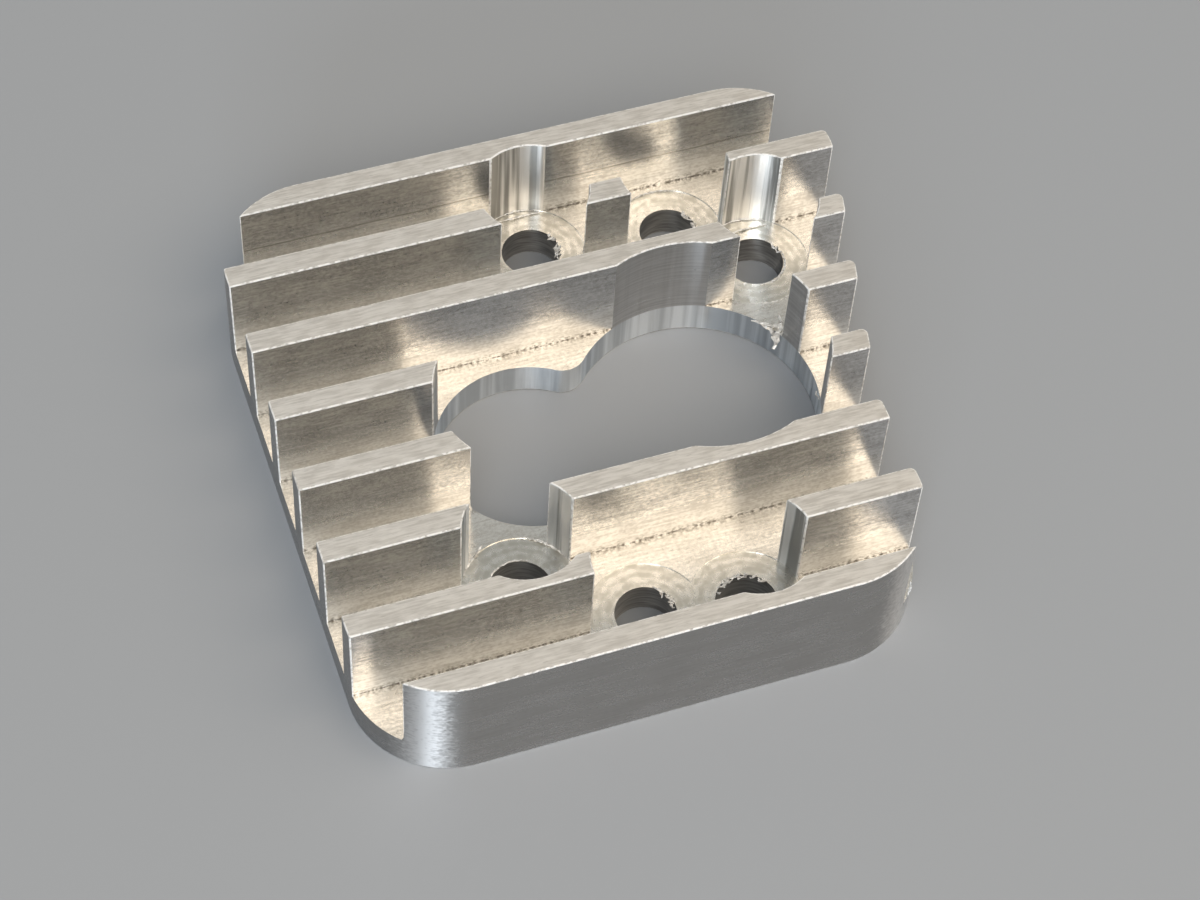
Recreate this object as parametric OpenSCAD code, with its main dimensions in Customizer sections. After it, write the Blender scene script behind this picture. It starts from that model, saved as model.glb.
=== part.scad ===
// Finned motor mount milled from one block of bare aluminium.
// The flat underside is screwed to the motor, and the fins stand up from the plate.
// The origin is the centre of the underside's bounding box.

/* [Plate] */
// Width of the plate along the fins, at the front edge
plate_w = 29.75; // [28:0.05:40]
// Depth of the plate across the fins
plate_d = 32.5; // [31:0.1:40]
// Height of the fins above the underside
height = 7.4; // [5:0.1:14]
// Thickness of the plate below the channels
base_t = 2; // [1.2:0.1:4]
// Radius of the plate's corners
corner_r = 5.1; // [3:0.1:8]
// Distance from the left edge to the motor axis
axis_inset = 19.3; // [18:0.1:21]
// Angle at which the right edge leans outward
flare_angle = 13.5; // [0:0.5:20]
// Distance from the front edge to the point where the right edge starts to lean
flare_start = 10.4; // [9:0.1:14]

/* [Fins] */
// Number of fins between the front and back walls
fin_count = 6; // [3:1:8]
// Thickness of a fin
fin_t = 1.3; // [0.8:0.1:2]
// Thickness of the front and back walls
wall_t = 1.3; // [0.8:0.1:2.5]
// Radius on the rear corner of each fin's right end
end_break = 0.35; // [0.1:0.05:0.5]

/* [Opening] */
// Diameter of the large round of the opening
large_d = 13.2; // [11:0.1:14.4]
// Distance from the motor axis to the centre of the large round
large_x = 3.05; // [2:0.05:4]
// Diameter of the small round of the opening
small_d = 10.2; // [8:0.1:11]
// Distance from the motor axis to the centre of the small round
small_x = -6.15; // [-7:0.05:-5]
// Radius that blends the two rounds into each other
neck_r = 1.3; // [0.5:0.1:3]

/* [Motor screws] */
// Distance between the two screw holes of a pair
hole_spacing = 25; // [24:0.1:26]
// Diameter of a screw hole
hole_d = 3.2; // [2:0.1:3.6]
// Diameter of the pocket that clears a screw head
pocket_d = 6; // [5:0.1:7]
// How far a pocket sinks below the floor of the channels
pocket_step = 0.05; // [0.02:0.01:0.3]
// Angle of the first pair of holes
first_angle = 41.2; // [36:0.1:46]
// Angle of the second pair of holes
second_angle = 67.8; // [64:0.1:72]
// Shift of the second pair along the fins
second_shift = 0.85; // [0:0.05:1.2]
// Angle of the third pair of holes
third_angle = 97.8; // [94:0.1:102]
// Shift of the third pair along the fins
third_shift = -0.45; // [-1:0.05:0]

/* [Hidden] */
$fn = 96;

// How far a cutter runs past the faces it opens
past = 1;
// How far an arc passes over the edge that it runs into, so that the two cross cleanly
overlap = 0.002;

// Y of the front and back edges, and of the point where the right edge starts to lean
front_y = -plate_d / 2;
back_y = plate_d / 2;
flare_y = front_y + flare_start;

// Y of the centre of the right edge's rear round, and of the point where that round starts
round_y = back_y - corner_r;
round_start = round_y - corner_r * sin(flare_angle);

// How far the right edge has leaned outward at y, before its corners are rounded
function lean(y) = max(0, y - flare_y) * tan(flare_angle);

// Full width of the plate, and its edges in X, with the widest part centred on the origin
full_w = plate_w + lean(round_y) - corner_r / cos(flare_angle) + corner_r;
left_x = -full_w / 2;
right_x = left_x + plate_w;
round_x = left_x + full_w - corner_r;
axis_x = left_x + axis_inset;

// Fin pattern: one channel lies between each wall or fin and the next
pitch = (plate_d - 2 * wall_t + fin_t) / (fin_count + 1);
channel_w = pitch - fin_t;

// Screw pairs, each as its angle and its shift along X
pairs = [
    [first_angle, 0],
    [second_angle, second_shift],
    [third_angle, third_shift]
];

// X of a fin's right end at y
function end_x(y) =
    y > round_start
    ? round_x + sqrt(corner_r * corner_r - (y - round_y) * (y - round_y))
    : right_x + lean(y);

// Direction in which the right edge runs towards the front from y
function end_run(y) =
    y > round_start ? 270 + asin((y - round_y) / corner_r)
    : y > flare_y ? 270 - flare_angle
    : 270;

// Front face of fin number i, counted from 1 at the front
function fin_y(i) = front_y + wall_t + channel_w + (i - 1) * pitch;

// Plan of the plate before its corners are rounded
module sharp_outline() {
    polygon([
        [left_x, front_y],
        [right_x, front_y],
        [right_x, flare_y],
        [right_x + lean(back_y), back_y],
        [left_x, back_y]
    ]);
}

// What rounding takes off a corner at the point p, for the radius r.
// a and b are the directions in which the corner's two sides run away from p.
module corner_waste(p, a, b, r) {
    bisector = (a + b) / 2;
    half = (b - a) / 2;
    centre = p + (r - overlap) / sin(half) * [cos(bisector), sin(bisector)];
    outside = p - past * [cos(bisector), sin(bisector)];
    side = r / tan(half);
    difference() {
        polygon([
            outside,
            p + side * [cos(a), sin(a)] + past * [cos(a - 90), sin(a - 90)],
            p + side * [cos(a), sin(a)],
            centre,
            p + side * [cos(b), sin(b)],
            p + side * [cos(b), sin(b)] + past * [cos(b + 90), sin(b + 90)]
        ]);
        translate(centre) circle(r);
    }
}

// Plan of the plate with all four corners rounded
module outline() {
    difference() {
        sharp_outline();
        corner_waste([left_x, front_y], 0, 90, corner_r);
        corner_waste([right_x, front_y], 90, 180, corner_r);
        corner_waste([right_x + lean(back_y), back_y], 180, 270 - flare_angle, corner_r);
        corner_waste([left_x, back_y], 270, 360, corner_r);
    }
}

// Straight channels milled along the whole width of the block
module channels() {
    for (i = [0 : fin_count]) {
        translate([left_x - past, front_y + wall_t + i * pitch, base_t])
            cube([full_w + 2 * past, channel_w, height]);
    }
}

// Deburred rear corner at the right end of each fin
module fin_end_breaks() {
    for (i = [1 : fin_count]) {
        rear = fin_y(i) + fin_t;
        translate([0, 0, base_t])
            linear_extrude(height)
                corner_waste([end_x(rear), rear], 180, end_run(rear), end_break);
    }
}

// Keyhole of two round cuts whose meeting points are blended by neck_r
module opening_plan() {
    large_r = large_d / 2;
    small_r = small_d / 2;
    span = large_x - small_x;
    reach_small = small_r + neck_r - overlap;
    reach_large = large_r + neck_r - overlap;
    along = (span * span + reach_small * reach_small - reach_large * reach_large) / (2 * span);
    aside = sqrt(reach_small * reach_small - along * along);
    blend_x = small_x + along;
    translate([large_x, 0]) circle(large_r);
    translate([small_x, 0]) circle(small_r);
    difference() {
        polygon([
            [small_x, 0],
            [blend_x, aside],
            [large_x, 0],
            [blend_x, -aside]
        ]);
        for (s = [-1, 1]) translate([blend_x, s * aside]) circle(neck_r);
    }
}

// Places its children at all six motor screws
module at_screws() {
    for (pair = pairs) {
        for (turn = [0, 180]) {
            translate([pair[1], 0, 0])
                rotate([0, 0, pair[0] + turn])
                    translate([hole_spacing / 2, 0, 0])
                        children();
        }
    }
}

module heat_sink_mount() {
    color([0.74, 0.72, 0.69])
        difference() {
            linear_extrude(height) outline();
            channels();
            fin_end_breaks();
            translate([axis_x, 0, 0]) {
                translate([0, 0, -past]) linear_extrude(height + 2 * past) opening_plan();
                at_screws() {
                    translate([0, 0, -past]) cylinder(d = hole_d, h = height);
                    translate([0, 0, base_t - pocket_step]) cylinder(d = pocket_d, h = height);
                }
            }
        }
}

heat_sink_mount();
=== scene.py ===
"""Looks of the motor heat sink mount: bare milled aluminium on a pale floor."""

import math
import random

import bmesh
import bpy
from mathutils import Matrix, Vector


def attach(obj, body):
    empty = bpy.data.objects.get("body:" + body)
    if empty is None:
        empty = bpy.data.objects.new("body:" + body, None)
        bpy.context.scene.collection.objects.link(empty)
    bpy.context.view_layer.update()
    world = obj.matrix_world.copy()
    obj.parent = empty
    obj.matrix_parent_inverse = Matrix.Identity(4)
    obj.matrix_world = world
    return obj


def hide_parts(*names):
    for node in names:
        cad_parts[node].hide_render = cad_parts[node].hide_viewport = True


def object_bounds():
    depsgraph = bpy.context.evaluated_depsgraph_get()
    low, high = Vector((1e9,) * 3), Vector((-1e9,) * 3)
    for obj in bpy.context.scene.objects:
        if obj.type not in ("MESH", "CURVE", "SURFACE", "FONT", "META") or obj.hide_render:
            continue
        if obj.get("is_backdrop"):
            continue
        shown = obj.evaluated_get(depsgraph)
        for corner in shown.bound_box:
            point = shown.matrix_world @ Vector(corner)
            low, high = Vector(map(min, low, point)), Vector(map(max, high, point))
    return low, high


MM = 0.001

# Levels of the fins' tops and of the channels' floors
TOP = 7.4 * MM
FLOOR = 2 * MM

# Screw holes in X and Y, in millimetres: second_b, third_b, first_b, first_a, second_a, third_a
SCREWS = [
    (-1.416, -11.573),
    (3.703, -12.384),
    (-6.948, -8.234),
    (11.862, 8.234),
    (8.030, 11.573),
    (0.310, 12.384),
]

# Radii of a screw hole and of its head pocket
BORE_R = 1.6 * MM
POCKET_R = 3 * MM

# Channels in millimetres: the front side of the first, the width of each and their spacing
CHANNEL_START = -14.95
CHANNEL_W = 3.157
PITCH = 4.457

# A face that looks right beyond this X belongs to the outside
RIGHT_EDGE = 12.5 * MM

# Part of a normal along an axis from which a face counts as looking that way
FACING = 0.9

# How far a face's middle may lie from the level or the round that it belongs to
NEAR = 0.1 * MM

# How far below the channels' floors the middle of a pocket's floor lies at least
BELOW_FLOOR = 0.01 * MM

# Part of the normal along Y of a channel's side, and how far in millimetres it may be off its place
SIDE_FACING = 0.999
SIDE_NEAR = 0.02

# How far an outer face may lie inside the block's hull
HULL_GAP = 0.05 * MM

# How far the bevel cuts back an edge, and the smallest angle that it takes
EDGE_BREAK = 0.08 * MM
SHARP_ANGLE = 0.5

# Levels between which the edges of the pocket floors' steps lie
STEP_LEVELS = (1.8 * MM, 2.01 * MM)

# Distance at which the bevel's input points count as one, and a length that counts as none
SAME_POINT = 0.0001 * MM
NO_LENGTH = 0.001 * MM

# Angle from which an edge is shaded sharp
CREASE_ANGLE = 0.6

# Corners of a ring around a sliver of torn metal
SLIVER_SIDES = 5

# In millimetres, farther than any screw is from any point of the part
FAR = 99.0

# Places of the two colors and of their mix among a mix node's sockets
MIX_COLORS = (6, 7)
MIX_RESULT = 2

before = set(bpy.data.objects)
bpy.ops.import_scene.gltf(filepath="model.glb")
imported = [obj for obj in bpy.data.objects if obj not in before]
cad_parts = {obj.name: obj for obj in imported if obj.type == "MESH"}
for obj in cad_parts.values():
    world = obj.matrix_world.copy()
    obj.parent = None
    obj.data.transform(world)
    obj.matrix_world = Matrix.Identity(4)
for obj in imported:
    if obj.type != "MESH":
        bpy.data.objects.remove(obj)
cad_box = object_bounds()
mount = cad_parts["heat_sink_mount"]


# Studio


def add_camera():
    """Camera at the photograph's place and angle."""
    camera = bpy.data.objects.new("camera", bpy.data.cameras.new("camera"))
    bpy.context.collection.objects.link(camera)
    right = Vector((0.945552, -0.322655, 0.042718))
    up = Vector((0.239505, 0.77866, 0.579937))
    back = Vector((-0.220382, -0.538129, 0.813541))
    turn = Matrix((right, up, back)).transposed()
    camera.matrix_world = Matrix.Translation((-0.03429, -0.084173, 0.127206)) @ turn.to_4x4()
    camera.data.sensor_width = 36
    camera.data.lens = 88.4
    camera.data.clip_start = 0.01
    camera.data.clip_end = 20
    bpy.context.scene.camera = camera
    bpy.context.scene.view_settings.view_transform = "Standard"


def add_softbox(name, direction, distance, size, radiance, color):
    """Rectangular lamp that faces the object. radiance is how bright the lamp itself looks."""
    lamp = bpy.data.lights.new(name, "AREA")
    lamp.shape = "RECTANGLE"
    lamp.size, lamp.size_y = size
    lamp.energy = radiance * size[0] * size[1] * math.pi
    lamp.color = color
    holder = bpy.data.objects.new(name, lamp)
    bpy.context.collection.objects.link(holder)
    away = Vector(direction).normalized()
    aim = away.to_track_quat("Z", "Y").to_matrix().to_4x4()
    holder.matrix_world = Matrix.Translation(away * distance) @ aim
    holder.visible_camera = False


def add_world():
    """Even grey room, slightly cool behind the camera and slightly warm on the far side."""
    world = bpy.data.worlds.new("studio")
    bpy.context.scene.world = world
    world.use_nodes = True
    tree = world.node_tree
    place = tree.nodes.new("ShaderNodeTexCoord")
    split = tree.nodes.new("ShaderNodeSeparateXYZ")
    ramp = tree.nodes.new("ShaderNodeValToRGB")
    tree.links.new(place.outputs["Generated"], split.inputs[0])
    shift = tree.nodes.new("ShaderNodeMath")
    shift.operation = "MULTIPLY_ADD"
    shift.inputs[1].default_value = 0.5
    shift.inputs[2].default_value = 0.5
    tree.links.new(split.outputs["Y"], shift.inputs[0])
    tree.links.new(shift.outputs[0], ramp.inputs[0])
    ramp.color_ramp.elements[0].position = 0.25
    ramp.color_ramp.elements[0].color = (0.38, 0.40, 0.42, 1)
    ramp.color_ramp.elements[1].position = 0.7
    ramp.color_ramp.elements[1].color = (0.40, 0.40, 0.38, 1)
    tree.links.new(ramp.outputs[0], tree.nodes["Background"].inputs["Color"])


def add_floor():
    """Wide plain floor just below the part."""
    half = 1.5
    mesh = bpy.data.meshes.new("floor")
    corners = [(-half, -half, 0), (half, -half, 0), (half, half, 0), (-half, half, 0)]
    mesh.from_pydata(corners, [], [(0, 1, 2, 3)])
    floor = bpy.data.objects.new("floor", mesh)
    floor.location.z = -0.02 * MM
    bpy.context.collection.objects.link(floor)
    material = bpy.data.materials.new("floor")
    material.use_nodes = True
    shader = material.node_tree.nodes["Principled BSDF"]
    shader.inputs["Base Color"].default_value = (0.36, 0.38, 0.41, 1)
    shader.inputs["Roughness"].default_value = 0.5
    mesh.materials.append(material)
    floor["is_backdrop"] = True


# Materials


class Paint:
    """Short names for the nodes that the aluminium finishes share."""

    def __init__(self, name, anisotropic=0.0, metallic=1.0):
        self.material = bpy.data.materials.new(name)
        self.material.use_nodes = True
        self.tree = self.material.node_tree
        self.shader = self.tree.nodes["Principled BSDF"]
        self.shader.inputs["Metallic"].default_value = metallic
        self.shader.inputs["Anisotropic"].default_value = anisotropic
        coordinates = self.add("ShaderNodeTexCoord")
        self.normal = coordinates.outputs["Normal"]
        in_mm = (1 / MM, 1 / MM, 1 / MM)
        self.place = self.vector("MULTIPLY", coordinates.outputs["Object"], in_mm)
        if anisotropic:
            across = self.vector("CROSS_PRODUCT", self.normal, (1, 0, 0))
            tangent = self.vector("ADD", across, (0, 0, 0.02))
            self.tree.links.new(tangent, self.shader.inputs["Tangent"])

    def add(self, kind):
        return self.tree.nodes.new(kind)

    def feed(self, socket, value):
        if isinstance(value, bpy.types.NodeSocket):
            self.tree.links.new(value, socket)
        else:
            socket.default_value = value

    def vector(self, operation, a, b):
        node = self.add("ShaderNodeVectorMath")
        node.operation = operation
        self.feed(node.inputs[0], a)
        self.feed(node.inputs[1], b)
        return node.outputs["Value" if operation == "DISTANCE" else "Vector"]

    def math(self, operation, a, b=0.0):
        node = self.add("ShaderNodeMath")
        node.operation = operation
        self.feed(node.inputs[0], a)
        self.feed(node.inputs[1], b)
        return node.outputs[0]

    def times(self, a, b):
        return self.math("MULTIPLY", a, b)

    def plus(self, a, b):
        return self.math("ADD", a, b)

    def minus(self, a, b):
        return self.math("SUBTRACT", a, b)

    def axis(self, name, source=None):
        node = self.add("ShaderNodeSeparateXYZ")
        self.feed(node.inputs[0], source or self.place)
        return node.outputs[name]

    def noise(self, stretch, detail, offset=0.0):
        """Noise between 0 and 1. stretch is the waves in a millimetre along each axis."""
        node = self.add("ShaderNodeTexNoise")
        node.inputs["Scale"].default_value = 1
        node.inputs["Detail"].default_value = detail
        place = self.vector("MULTIPLY", self.place, stretch)
        self.feed(node.inputs["Vector"], self.vector("ADD", place, (offset, offset, offset)))
        return node.outputs[0]

    def blend(self, first, second, share):
        """Mix of two values, with the given share of the second."""
        part = self.times(second, share)
        return self.plus(self.times(first, 1 - share), part)

    def span(self, value, low, high, start=0.0, end=1.0):
        """Carries low to start and high to end, and holds the ends outside."""
        node = self.add("ShaderNodeMapRange")
        node.clamp = True
        for socket, number in zip(node.inputs, (value, low, high, start, end)):
            self.feed(socket, number)
        return node.outputs[0]

    def colors(self, factor, first, second):
        node = self.add("ShaderNodeMix")
        node.data_type = "RGBA"
        self.feed(node.inputs[0], factor)
        for place, color in zip(MIX_COLORS, (first, second)):
            linked = isinstance(color, bpy.types.NodeSocket)
            self.feed(node.inputs[place], color if linked else (*color, 1))
        return node.outputs[MIX_RESULT]

    def bump(self, height, depth):
        """depth is how deep the height's whole range goes, in metres."""
        node = self.add("ShaderNodeBump")
        node.inputs["Strength"].default_value = 1
        node.inputs["Distance"].default_value = depth
        self.feed(node.inputs["Height"], height)
        self.tree.links.new(node.outputs[0], self.shader.inputs["Normal"])

    def finish(self, color, roughness):
        self.feed(self.shader.inputs["Base Color"], color)
        self.feed(self.shader.inputs["Roughness"], roughness)
        return self.material


def top_finish():
    """Matte sawn tops with fine streaks along the fins."""
    paint = Paint("aluminium_tops", 0.8)
    streaks = paint.noise((0.9, 9, 9), 5)
    scratches = paint.noise((1.5, 10, 10), 2, 4.0)
    patches = paint.noise((1, 1.6, 1.6), 3, 7.0)
    tone = paint.blend(streaks, patches, 0.4)
    color = paint.colors(paint.span(tone, 0.40, 0.60), (0.64, 0.63, 0.61), (0.87, 0.86, 0.84))
    dark = paint.span(scratches, 0.36, 0.28)
    color = paint.colors(paint.times(dark, 0.4), color, (0.42, 0.41, 0.39))
    paint.bump(paint.blend(streaks, scratches, 0.4), 0.009 * MM)
    return paint.finish(color, paint.span(tone, 0.3, 0.7, 0.56, 0.44))


def channel_finish():
    """Floors and fin faces: streaks along the channels, painted shade higher up on the fins, torn
    metal and a painted shade line at the foot.
    """
    paint = Paint("aluminium_channels", 0.8)
    level = paint.axis("Z")
    upright = paint.math("ABSOLUTE", paint.axis("Y", paint.normal))
    streaks = paint.noise((0.5, 8, 8), 5)
    grain = paint.noise((5, 7, 6), 3, 3.0)
    patches = paint.noise((0.5, 1.2, 0.9), 3, 11.0)
    tone = paint.blend(paint.blend(streaks, grain, 0.5), patches, 0.25)
    color = paint.colors(paint.span(tone, 0.42, 0.58), (0.74, 0.72, 0.68), (0.97, 0.96, 0.93))
    # Painted shade: upright faces are mixed towards a darker grey the higher they reach
    shaded = paint.times(paint.span(level, 2.8, 4.9), upright)
    shade = paint.colors(paint.span(tone, 0.42, 0.58), (0.42, 0.42, 0.42), (0.66, 0.66, 0.66))
    color = paint.colors(paint.times(shaded, 0.85), color, shade)
    across = paint.math("MODULO", paint.minus(paint.axis("Y"), CHANNEL_START), PITCH)
    gap = paint.math("ABSOLUTE", paint.minus(across, CHANNEL_W))
    ragged = paint.times(paint.noise((2.5, 1, 1), 3, 5.0), 0.5)
    on_face = paint.times(paint.span(paint.plus(level, ragged), 2.75, 2.3), upright)
    on_floor = paint.span(paint.plus(gap, ragged), 0.65, 0.25)
    on_floor = paint.times(on_floor, paint.minus(1.0, upright))
    foot = paint.plus(on_face, on_floor)
    specks = paint.noise((5, 5, 7), 2, 9.0)
    dark = paint.times(foot, paint.span(specks, 0.50, 0.60))
    color = paint.colors(dark, color, (0.42, 0.40, 0.36))
    bright = paint.times(foot, paint.span(specks, 0.44, 0.36))
    color = paint.colors(bright, color, (1.0, 0.98, 0.95))
    # Painted shade: a dark, broken line along the crease where the fins meet the floor
    foot_crease_shade = paint.times(paint.span(level, 2.11, 2.04), upright)
    foot_crease_shade = paint.times(foot_crease_shade, paint.span(specks, 0.35, 0.55, 0.1, 0.8))
    color = paint.colors(foot_crease_shade, color, (0.20, 0.18, 0.16))
    # Painted reflection: a dark wavy line along the back wall stands in for the fin in front
    # mirrored in it
    in_back = paint.times(paint.span(paint.axis("Y"), 14.5, 14.6), upright)
    wave = paint.times(paint.noise((0.3, 1, 1), 2, 2.0), 0.25)
    height = paint.plus(level, wave)
    line = paint.span(paint.math("ABSOLUTE", paint.minus(height, 4.6)), 0.07, 0.02)
    color = paint.colors(paint.times(line, paint.times(in_back, 0.6)), color, (0.25, 0.23, 0.20))
    paint.bump(paint.blend(streaks, grain, 0.5), 0.008 * MM)
    rough = paint.span(tone, 0.35, 0.65, 0.29, 0.21)
    low = paint.times(paint.span(level, 4.4, 2.6), upright)
    return paint.finish(color, paint.plus(rough, paint.times(low, 0.15)))


def scallop_finish():
    """Bright upright walls that the end mill left around the head pockets."""
    paint = Paint("aluminium_scallops", 0.97)
    streaks = paint.noise((2.2, 2.2, 0.05), 5)
    color = paint.colors(paint.span(streaks, 0.42, 0.55), (0.38, 0.38, 0.37), (1.0, 1.0, 0.99))
    paint.bump(streaks, 0.03 * MM)
    return paint.finish(color, paint.span(streaks, 0.3, 0.7, 0.38, 0.32))


def opening_finish():
    """Walls of the opening: dull on the fins, and on the plate a painted reflection, bluish and
    brighter with upright bands.
    """
    paint = Paint("aluminium_opening", 0.96)
    streaks = paint.noise((3, 3, 0.1), 4)
    rings = paint.noise((0.3, 0.3, 7), 3, 6.0)
    tone = paint.blend(streaks, rings, 0.65)
    dull = paint.colors(paint.span(tone, 0.38, 0.62), (0.44, 0.44, 0.44), (0.58, 0.58, 0.58))
    # Painted reflection: the plate's part of the walls gets a paler, bluish colour that stands in
    # for light mirrored in it
    broad = paint.blend(paint.noise((0.5, 0.5, 0.02), 2, 12.0), streaks, 0.35)
    bright = paint.colors(paint.span(broad, 0.42, 0.60), (0.52, 0.56, 0.60), (0.90, 0.95, 1.0))
    color = paint.colors(paint.span(paint.axis("Z"), 2.05, 1.98), dull, bright)
    paint.bump(tone, 0.004 * MM)
    rough = paint.span(tone, 0.3, 0.7, 0.36, 0.26)
    return paint.finish(color, paint.plus(rough, paint.span(paint.axis("Z"), 2.05, 1.98, 0, 0.08)))


def pocket_finish():
    """Grainy pocket floors with faint swirls of the end mill."""
    paint = Paint("aluminium_pockets", 0.7)
    distance = FAR
    for x, y in SCREWS:
        away = paint.vector("DISTANCE", paint.place, (x, y, FLOOR / MM))
        distance = paint.math("MINIMUM", away, distance)
    wobble = paint.noise((0.8, 0.8, 0.8), 3)
    turns = paint.plus(paint.times(distance, 14.0), paint.times(wobble, 7.0))
    rings = paint.span(paint.math("SINE", turns), -1, 1)
    grain = paint.noise((2.2, 2.2, 2.2), 5, 3.0)
    swirl = paint.blend(rings, grain, 0.88)
    color = paint.colors(paint.span(swirl, 0.38, 0.62), (0.66, 0.65, 0.60), (0.90, 0.89, 0.85))
    paint.bump(swirl, 0.006 * MM)
    return paint.finish(color, paint.span(swirl, 0.3, 0.7, 0.32, 0.24))


def outside_finish():
    """Outer walls and underside, ground level: painted shade makes them dark; paler and rougher on
    the corners.
    """
    paint = Paint("aluminium_outside", 0.95)
    streaks = paint.noise((0.3, 0.3, 9), 4)
    patches = paint.noise((0.3, 0.3, 0.8), 3, 5.0)
    speckle = paint.noise((4, 4, 7), 3, 8.0)
    tone = paint.blend(paint.blend(streaks, speckle, 0.3), patches, 0.4)
    # Painted shade: a dark grey base stands in for the darker floor mirrored in the outer walls
    color = paint.colors(paint.span(tone, 0.38, 0.62), (0.35, 0.35, 0.35), (0.43, 0.43, 0.43))
    side = paint.axis("X", paint.normal)
    turn = paint.math("ABSOLUTE", paint.times(side, paint.axis("Y", paint.normal)))
    turn = paint.minus(turn, paint.times(paint.span(side, 0, 0.3), 0.1))
    turn = paint.minus(turn, paint.times(paint.span(side, -0.5, -0.8), 0.3))
    worn = paint.plus(turn, paint.times(paint.minus(speckle, 0.5), 0.35))
    corner = paint.span(worn, 0.2, 0.4)
    color = paint.colors(corner, color, (0.72, 0.72, 0.72))
    roughness = paint.span(tone, 0.3, 0.7, 0.32, 0.24)
    paint.bump(paint.blend(streaks, speckle, 0.4), 0.004 * MM)
    return paint.finish(color, paint.plus(roughness, paint.times(corner, 0.12)))


def bore_finish():
    """Drilled screw holes, with painted shade that makes them dark inside."""
    paint = Paint("aluminium_bores", 0.95)
    rings = paint.noise((0.8, 0.8, 7), 3)
    # Painted shade: dark greys for the inside of the holes, where little light reaches
    color = paint.colors(paint.span(rings, 0.35, 0.65), (0.27, 0.26, 0.25), (0.50, 0.49, 0.47))
    paint.bump(rings, 0.003 * MM)
    return paint.finish(color, 0.35)


def edge_finish():
    """Broken edges and burrs, with a painted highlight that makes them near white."""
    paint = Paint("aluminium_edges", metallic=0.3)
    nicks = paint.noise((4, 4, 4), 3)
    # Painted highlight: a near white colour on the broken edges and burrs, with darker nicks
    color = paint.colors(paint.span(nicks, 0.36, 0.52), (0.60, 0.58, 0.55), (1.0, 0.99, 0.97))
    paint.bump(nicks, 0.03 * MM)
    return paint.finish(color, 0.4)


FINISHES = [
    top_finish,
    channel_finish,
    scallop_finish,
    opening_finish,
    pocket_finish,
    outside_finish,
    bore_finish,
    edge_finish,
]
TOPS, CHANNELS, SCALLOPS, OPENING, POCKETS, OUTSIDE, BORES, EDGES = range(len(FINISHES))


# The milled block


def nearest_screw(point):
    return min(math.hypot(point.x - x * MM, point.y - y * MM) for x, y in SCREWS)


def finish_of(face, corners):
    """Kind of surface that a face belongs to. corners are all the block's points."""
    normal = face.normal
    middle = face.calc_center_median()
    if normal.z > FACING:
        if middle.z > TOP - NEAR:
            return TOPS
        return POCKETS if middle.z < FLOOR - BELOW_FLOOR else CHANNELS
    if normal.z < -FACING:
        return OUTSIDE
    if nearest_screw(middle) < BORE_R + NEAR:
        return BORES
    reach = max(corner.dot(normal) for corner in corners)
    on_right = normal.x > FACING and middle.x > RIGHT_EDGE
    if reach - middle.dot(normal) < HULL_GAP or on_right:
        return OUTSIDE
    across = (middle.y / MM - CHANNEL_START) % PITCH
    off_side = min(across, PITCH - across, abs(across - CHANNEL_W))
    if abs(normal.y) > SIDE_FACING and off_side < SIDE_NEAR:
        return CHANNELS
    if nearest_screw(middle) < POCKET_R + NEAR:
        return SCALLOPS if middle.z > FLOOR else POCKETS
    return OPENING


def is_broken_edge(edge):
    """Outward edges, which the bevel softens. The faint steps of the pocket floors stay crisp."""
    if len(edge.link_faces) != 2 or not edge.is_convex:
        return False
    if edge.calc_face_angle() < SHARP_ANGLE:
        return False
    low, high = STEP_LEVELS
    return not all(low < vertex.co.z < high for vertex in edge.verts)


def build_mount():
    """Shows the block with broken edges and a finish for each kind of cut."""
    mesh = bpy.data.meshes.new("milled_block")
    block = bmesh.new()
    block.from_mesh(mount.data)
    bmesh.ops.remove_doubles(block, verts=block.verts, dist=SAME_POINT)
    bmesh.ops.dissolve_limit(block, angle_limit=0.01, verts=block.verts, edges=block.edges)
    corners = [vertex.co.copy() for vertex in block.verts]
    for face in block.faces:
        face.smooth = True
        face.material_index = finish_of(face, corners)
    edges = [edge for edge in block.edges if is_broken_edge(edge)]
    bmesh.ops.bevel(
        block,
        geom=edges,
        offset=EDGE_BREAK,
        offset_type="OFFSET",
        segments=2,
        profile=0.5,
        affect="EDGES",
        clamp_overlap=False,
        material=EDGES,
    )
    bmesh.ops.dissolve_degenerate(block, dist=NO_LENGTH, edges=block.edges)
    for edge in block.edges:
        if len(edge.link_faces) == 2 and edge.calc_face_angle() > CREASE_ANGLE:
            edge.smooth = False
    block.to_mesh(mesh)
    block.free()
    for finish in FINISHES:
        mesh.materials.append(finish())
    piece = bpy.data.objects.new("milled_block", mesh)
    bpy.context.collection.objects.link(piece)
    normals = piece.modifiers.new("normals", "WEIGHTED_NORMAL")
    normals.weight = 100
    normals.keep_sharp = True
    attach(piece, "root")
    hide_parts("heat_sink_mount")


# Burrs


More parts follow.
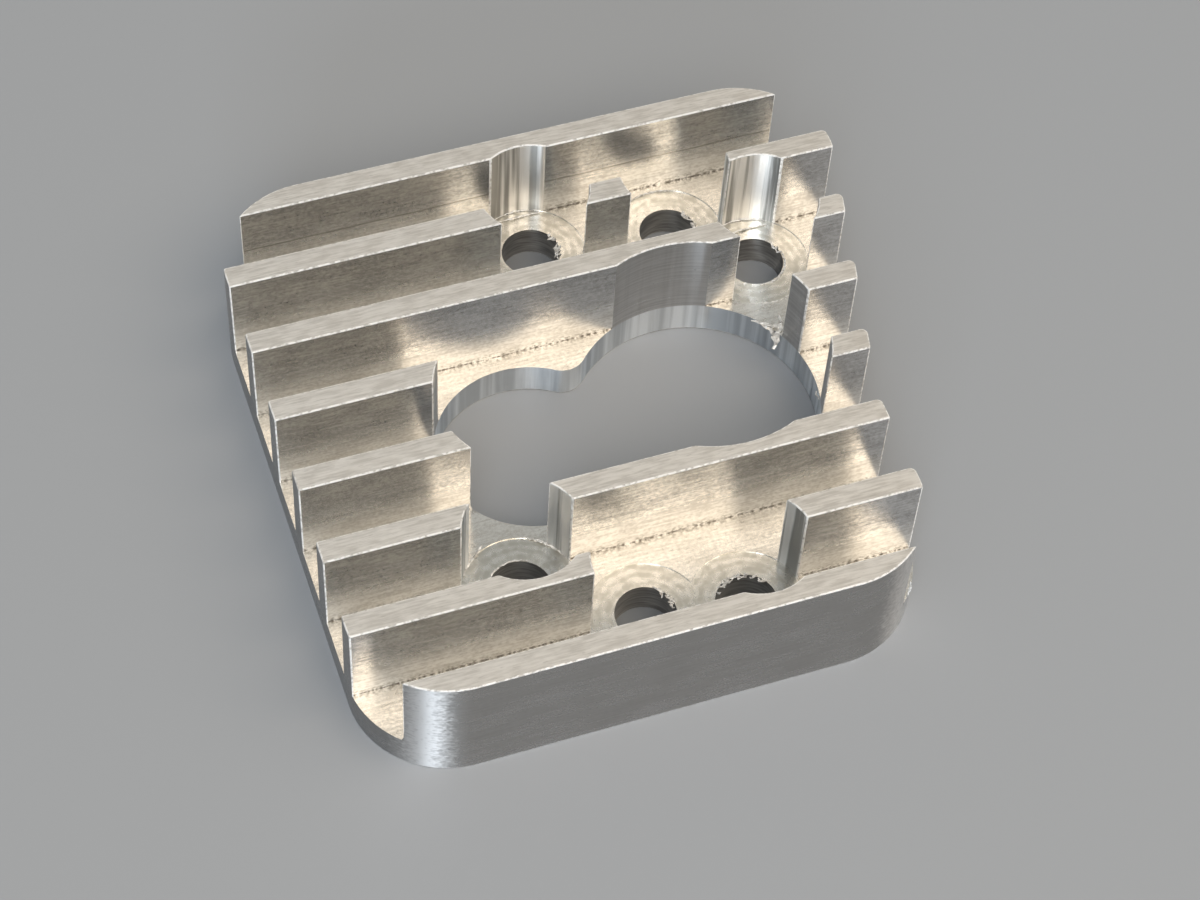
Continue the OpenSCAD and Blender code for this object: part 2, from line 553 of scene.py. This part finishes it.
def add_sliver(block, path, width, rng):
    """Ragged sliver of torn metal along a path of points in millimetres."""
    points = []
    for first, second in zip(path, path[1:]):
        for part in (0, 0.34, 0.67):
            points.append(Vector(first).lerp(Vector(second), part))
    points.append(Vector(path[-1]))
    rings = []
    for number, point in enumerate(points):
        before = points[max(number - 1, 0)]
        after = points[min(number + 1, len(points) - 1)]
        along = (after - before).normalized()
        wide = along.cross(Vector((0.2, 0.3, 1))).normalized()
        high = wide.cross(along)
        swell = math.sin(math.pi * (number + 0.6) / (len(points) + 0.2))
        radius = width / 2 * (0.3 + 0.7 * swell)
        center = point + Vector([rng.uniform(-0.25, 0.25) * width for _ in range(3)])
        ring = []
        for step in range(SLIVER_SIDES):
            turn = step * math.tau / SLIVER_SIDES
            reach = radius * rng.uniform(0.55, 1.3)
            spot = center + wide * math.cos(turn) * reach + high * math.sin(turn) * reach * 0.6
            ring.append(block.verts.new(spot * MM))
        rings.append(ring)
    for ring, following in zip(rings, rings[1:]):
        for step in range(SLIVER_SIDES):
            side = (step + 1) % SLIVER_SIDES
            block.faces.new((ring[step], ring[side], following[side], following[step]))
    block.faces.new(rings[0][::-1])
    block.faces.new(rings[-1])


def around(center, radius, angle, level):
    """Point around a screw, at an angle in degrees."""
    turn = math.radians(angle)
    return center[0] + radius * math.cos(turn), center[1] + radius * math.sin(turn), level


def arc(center, radius, start, end, level, count):
    """Points on an arc around a screw, from one angle in degrees to another."""
    points = []
    for number in range(count):
        angle = start + (end - start) * number / (count - 1)
        points.append(around(center, radius, angle, level))
    return points


def torn_rim(block, center, start, end, count, rng):
    """Short curls that stand on a hole's rim and lean into the hole."""
    for _ in range(count):
        first = rng.uniform(start, end)
        second = first + rng.uniform(-28, 28)
        middle = (first + second) / 2
        path = [
            around(center, 1.68, first, 1.96),
            around(center, rng.uniform(1.3, 1.5), middle, rng.uniform(1.95, 2.2)),
            around(center, rng.uniform(1.35, 1.7), second, rng.uniform(1.85, 2.15)),
        ]
        add_sliver(block, path, rng.uniform(0.1, 0.2), rng)


def build_burrs():
    """Torn metal where the cutters left the part."""
    rng = random.Random(7)
    block = bmesh.new()
    second_b, third_b, first_b, first_a, second_a, third_a = SCREWS
    torn_rim(block, third_a, -25, 40, 9, rng)
    torn_rim(block, second_a, 0, 45, 6, rng)
    torn_rim(block, second_a, 190, 225, 3, rng)
    torn_rim(block, second_b, 0, 65, 9, rng)
    torn_rim(block, third_b, 15, 150, 16, rng)
    torn_rim(block, first_a, 0, 25, 4, rng)
    for path, width in (
        (arc(first_a, 1.69, 8, -100, 1.98, 12), 0.13),
        (arc(first_b, 1.66, 150, 60, 1.97, 9), 0.12),
        (arc(first_b, 3.0, 72, 46, 2.0, 6), 0.13),
        (arc(first_b, 2.97, 150, 118, 1.99, 6), 0.12),
        ([(-8.75, -5.85, 2.0), (-8.5, -5.7, 2.15), (-8.2, -5.45, 2.2), (-8.1, -5.35, 2.1)], 0.12),
        (arc(first_a, 2.97, -115, -65, 1.99, 8), 0.09),
        ([(-0.9, 14.95, 2.0), (0.0, 14.9, 2.03), (0.9, 14.93, 2.0), (1.7, 14.95, 2.02)], 0.12),
        (arc(third_a, 2.98, 120, 62, 2.02, 8), 0.1),
        ([(10.6, 10.5, 2.02), (11.4, 10.42, 2.05), (12.3, 10.46, 2.02), (13.4, 10.49, 2.0)], 0.13),
        (arc(first_a, 2.97, 128, 56, 2.02, 9), 0.1),
        (
            [
                (10.6, 4.1, 2.0),
                (10.9, 3.6, 2.06),
                (11.15, 3.1, 2.0),
                (11.0, 2.75, 1.85),
                (10.8, 2.45, 1.6),
            ],
            0.34,
        ),
        ([(10.2, 4.4, 2.0), (10.7, 3.9, 2.12), (11.3, 3.5, 2.2), (11.75, 3.65, 2.1)], 0.26),
        ([(11.2, 3.25, 2.05), (11.3, 2.95, 2.12), (11.1, 2.65, 1.8)], 0.24),
        ([(11.85, 4.35, 2.0), (11.75, 3.7, 2.06), (11.45, 3.2, 2.12), (11.15, 2.95, 1.98)], 0.2),
        ([(10.9, 3.55, 2.05), (11.25, 3.45, 2.2), (11.5, 3.5, 2.05)], 0.18),
        ([(2.66, 10.48, 4.2), (2.64, 10.46, 3.4), (2.66, 10.45, 2.7), (2.66, 10.48, 2.05)], 0.1),
        ([(2.66, 10.48, 3.2), (2.8, 10.25, 3.1), (3.1, 10.1, 2.9), (3.25, 10.15, 2.6)], 0.12),
        ([(2.66, 10.48, 2.8), (2.9, 10.2, 2.7), (3.0, 10.25, 2.4)], 0.1),
        ([(11.62, -14.52, 3.2), (11.66, -14.56, 2.7), (11.63, -14.54, 2.1)], 0.14),
        ([(11.8, -1.75, 2.05), (11.75, -1.4, 2.15), (11.9, -1.1, 2.0)], 0.11),
        (arc(first_b, 2.93, 58, 20, 2.0, 8), 0.16),
        (arc(second_a, 2.95, 62, 118, 2.0, 9), 0.14),
    ):
        add_sliver(block, path, width, rng)
    mesh = bpy.data.meshes.new("burrs")
    block.to_mesh(mesh)
    block.free()
    mesh.materials.append(bpy.data.materials["aluminium_edges"])
    piece = bpy.data.objects.new("burrs", mesh)
    bpy.context.collection.objects.link(piece)
    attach(piece, "root")


add_camera()
add_world()
add_softbox("key", (0.27, -0.52, 0.81), 0.8, (1.1, 0.52), 2.3, (1.0, 0.83, 0.63))
add_softbox("window", (-0.38, -0.92, 0.22), 0.9, (0.38, 0.36), 8.0, (0.80, 0.90, 1.0))
add_softbox("side", (-0.30, -0.56, 0.77), 0.8, (0.24, 0.5), 3.6, (0.93, 0.97, 1.0))
add_floor()
build_mount()
build_burrs()

boxes = {"cad": cad_box, "visual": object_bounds()}
{name: [list(corner) for corner in box] for name, box in boxes.items()}
